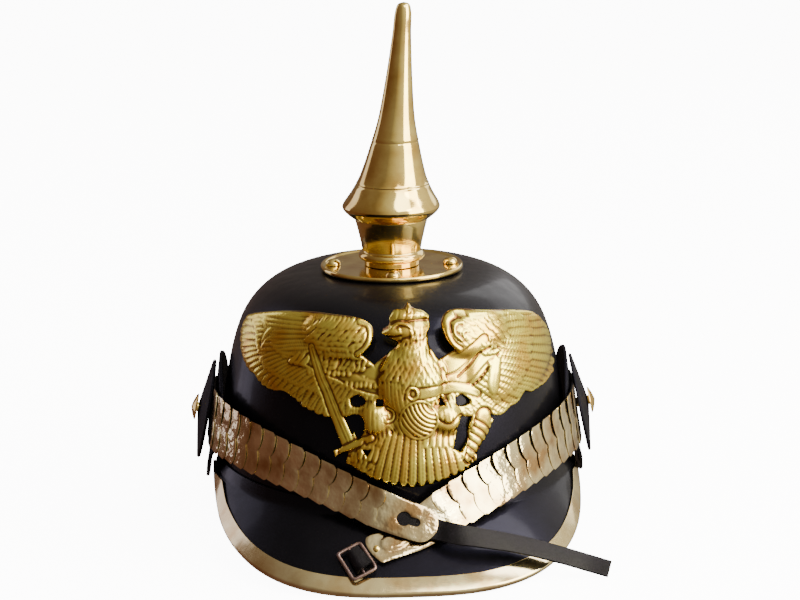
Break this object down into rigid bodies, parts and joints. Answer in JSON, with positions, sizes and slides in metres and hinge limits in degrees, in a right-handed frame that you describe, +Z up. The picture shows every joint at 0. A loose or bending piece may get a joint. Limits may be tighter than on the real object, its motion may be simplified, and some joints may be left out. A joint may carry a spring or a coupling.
{
  "type": "spiked helmet",
  "caption": "Black leather parade helmet with a tall brass spike, a brass eagle plate, brass-edged front peak, rear peak and a brass chin-scale strap crossed over the front",
  "frame": {"origin": "on the resting surface, under the middle of the helmet without its loose tongue", "axes": "+Z up along the helmet's height, front peak and eagle face -Y, +X is to the right of someone who looks at the front"},
  "size_m": [0.2242, 0.2793, 0.2837],
  "materials": {
    "lacquered_leather": "gloss lacquer",
    "strap_leather": "satin",
    "brass": "polished",
    "scale_brass": "polished",
    "buckle_steel": "satin"
  },
  "bodies": {
    "root": {"boss_left": "brass", "boss_right": "brass", "buckle_frame": "buckle_steel", "buckle_strap": "strap_leather", "disc_stud_1": "brass", "disc_stud_2": "brass", "disc_stud_3": "brass", "disc_stud_4": "brass", "eagle_plate": "brass", "end_plate_left": "scale_brass", "end_plate_right": "scale_brass", "end_stud": "brass", "front_peak": "lacquered_leather", "front_peak_trim": "brass", "inner_disc_left": "lacquered_leather", "inner_disc_right": "lacquered_leather", "outer_disc_left": "lacquered_leather", "outer_disc_right": "lacquered_leather", "rear_peak": "lacquered_leather", "scale_left_01": "scale_brass", "scale_left_02": "scale_brass", "scale_left_03": "scale_brass", "scale_left_04": "scale_brass", "scale_left_05": "scale_brass", "scale_left_06": "scale_brass", "scale_left_07": "scale_brass", "scale_left_08": "scale_brass", "scale_left_09": "scale_brass", "scale_left_10": "scale_brass", "scale_left_11": "scale_brass", "scale_left_12": "scale_brass", "scale_left_13": "scale_brass", "scale_left_14": "scale_brass", "scale_right_01": "scale_brass", "scale_right_02": "scale_brass", "scale_right_03": "scale_brass", "scale_right_04": "scale_brass", "scale_right_05": "scale_brass", "scale_right_06": "scale_brass", "scale_right_07": "scale_brass", "scale_right_08": "scale_brass", "scale_right_09": "scale_brass", "scale_right_10": "scale_brass", "scale_right_11": "scale_brass", "scale_right_12": "scale_brass", "scale_right_13": "scale_brass", "shell": "lacquered_leather", "spike": "brass", "spike_disc": "brass", "spike_neck": "brass", "strap_backing_left": "strap_leather", "strap_backing_right": "strap_leather", "tongue_strap": "strap_leather"}
  },
  "joints": []
}
